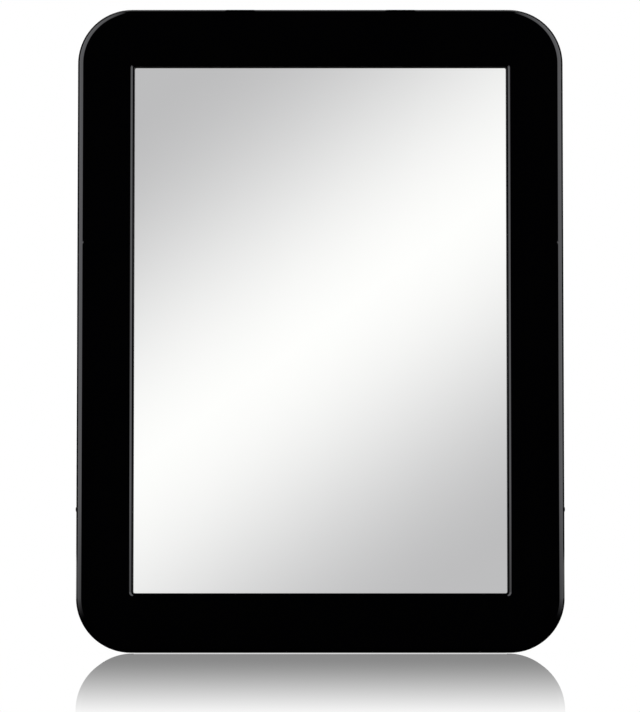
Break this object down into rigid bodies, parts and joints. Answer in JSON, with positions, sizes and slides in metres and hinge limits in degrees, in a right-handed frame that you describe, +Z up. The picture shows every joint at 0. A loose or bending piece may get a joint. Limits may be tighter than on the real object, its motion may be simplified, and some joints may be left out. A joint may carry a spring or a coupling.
{
  "type": "magnetic locker mirror",
  "caption": "Rectangular mirror in a glossy black moulded frame with rounded corners, held on a steel door by magnets set flush in its screwed back cover.",
  "frame": {"origin": "centre of the flat back face, which lies on the steel door", "axes": "+Y into the door, so the mirror faces -Y; +Z up along the frame's long side; +X to the right for someone who looks into the mirror"},
  "size_m": [0.1612, 0.0125, 0.2125],
  "materials": {
    "frame_plastic": "polished black ABS",
    "mirror": "silvered float glass",
    "board": "plain grey board",
    "foam": "closed-cell foam",
    "cover_plastic": "fine spark-eroded black ABS",
    "magnet": "nickel plate",
    "tape": "acrylic foam adhesive",
    "screw": "bright zinc plate"
  },
  "bodies": {
    "root": {"front_frame": "frame_plastic", "mirror_glass": "mirror", "backing_board": "board", "foam_strip_left": "foam", "foam_strip_right": "foam", "foam_strip_top": "foam", "foam_strip_bottom": "foam", "back_cover": "cover_plastic", "magnet_upper_left": "magnet", "magnet_upper_right": "magnet", "magnet_lower_left": "magnet", "magnet_lower_right": "magnet", "magnet_tape_upper_left": "tape", "magnet_tape_upper_right": "tape", "magnet_tape_lower_left": "tape", "magnet_tape_lower_right": "tape", "screw_upper_left": "screw", "screw_upper_right": "screw", "screw_lower_left": "screw", "screw_lower_right": "screw"}
  },
  "joints": []
}
